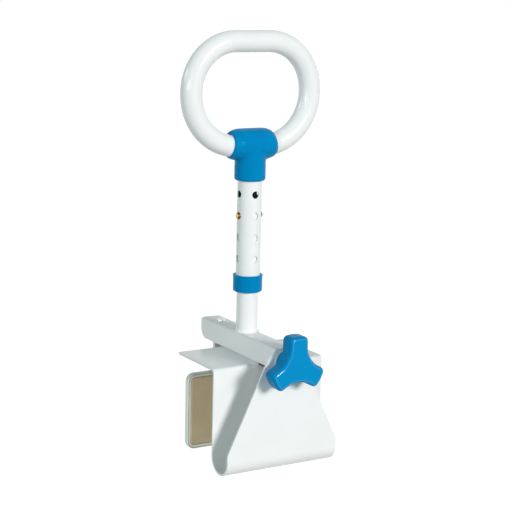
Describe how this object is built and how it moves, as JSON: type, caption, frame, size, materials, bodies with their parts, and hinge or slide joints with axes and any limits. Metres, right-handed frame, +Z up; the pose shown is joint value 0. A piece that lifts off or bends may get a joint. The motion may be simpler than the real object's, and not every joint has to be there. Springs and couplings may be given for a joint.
{
  "type": "bath safety rail",
  "caption": "Bathtub grab rail: a rim clamp with a sliding jaw and a screw knob, a height-adjustable stem with snap buttons, and a ring handle on a tee.",
  "frame": {"origin": "on the underside of the rim pad, on the axis of the stem", "axes": "+Z up along the stem; +X from the inside of the tub to the knob outside; +Y along the tub's wall"},
  "size_m": [0.2073, 0.1828, 0.5073],
  "materials": {
    "white_paint": "smooth white powder coat, satin gloss",
    "blue_plastic": "moulded blue plastic, soft gloss",
    "tan_rubber": "matt tan rubber",
    "black_rubber": "matt black rubber",
    "nylon": "natural nylon",
    "zinc_plate": "bright zinc plate",
    "spring_steel": "dark spring steel",
    "brass": "polished brass"
  },
  "bodies": {
    "bracket": {"clamp_bracket": "white_paint", "rim_pad": "black_rubber", "outer_pad": "black_rubber", "guide_block": "nylon", "guide_rivet_back": "zinc_plate", "guide_rivet_front": "zinc_plate"},
    "beam": {"slide_beam": "white_paint", "nut_plate": "zinc_plate", "beam_nut": "zinc_plate", "jaw_hanger": "white_paint", "hanger_rivet": "white_paint", "jaw_pan": "white_paint", "jaw_pad": "tan_rubber", "jaw_rivet_upper": "zinc_plate", "jaw_rivet_lower": "zinc_plate", "lower_stem": "white_paint", "snap_spring": "spring_steel"},
    "screw": {"clamp_screw": "zinc_plate", "knob": "blue_plastic", "thrust_washer": "nylon", "retaining_clip": "spring_steel"},
    "collar": {"stem_collar": "blue_plastic"},
    "handle": {"upper_stem": "white_paint", "handle_tee": "blue_plastic", "handle_ring": "white_paint", "ring_screw_left": "zinc_plate", "ring_screw_right": "zinc_plate", "sleeve_screw": "zinc_plate"},
    "button_left": {"button_left": "brass"},
    "button_right": {"button_right": "brass"}
  },
  "joints": [
    {"name": "knob_turn", "type": "hinge", "parent": "bracket", "child": "screw", "pos_m": [0.0881, 0, 0.0145], "axis": [1, 0, 0], "range_deg": [0, 12000]},
    {"name": "beam_slide", "type": "slide", "parent": "bracket", "child": "beam", "axis": [-1, 0, 0], "range_m": [0, 0.05]},
    {"name": "height_slide", "type": "slide", "parent": "beam", "child": "collar", "axis": [0, 0, 1], "range_m": [-0.0254, 0.0508], "deforming": ["snap_spring", "button_left", "button_right"]},
    {"name": "handle_turn", "type": "hinge", "parent": "collar", "child": "handle", "pos_m": [0, 0, 0.1694], "axis": [0, 0, 1], "continuous": true},
    {"name": "button_left_press", "type": "slide", "parent": "beam", "child": "button_left", "axis": [0, 1, 0], "range_m": [0, 0.0045], "stiffness_N_per_m": 800},
    {"name": "button_right_press", "type": "slide", "parent": "beam", "child": "button_right", "axis": [0, -1, 0], "range_m": [0, 0.0045], "stiffness_N_per_m": 800}
  ],
  "couplings": [
    {"joint": "knob_turn", "follows": "beam_slide", "rad_per_m": 4188.8}
  ]
}
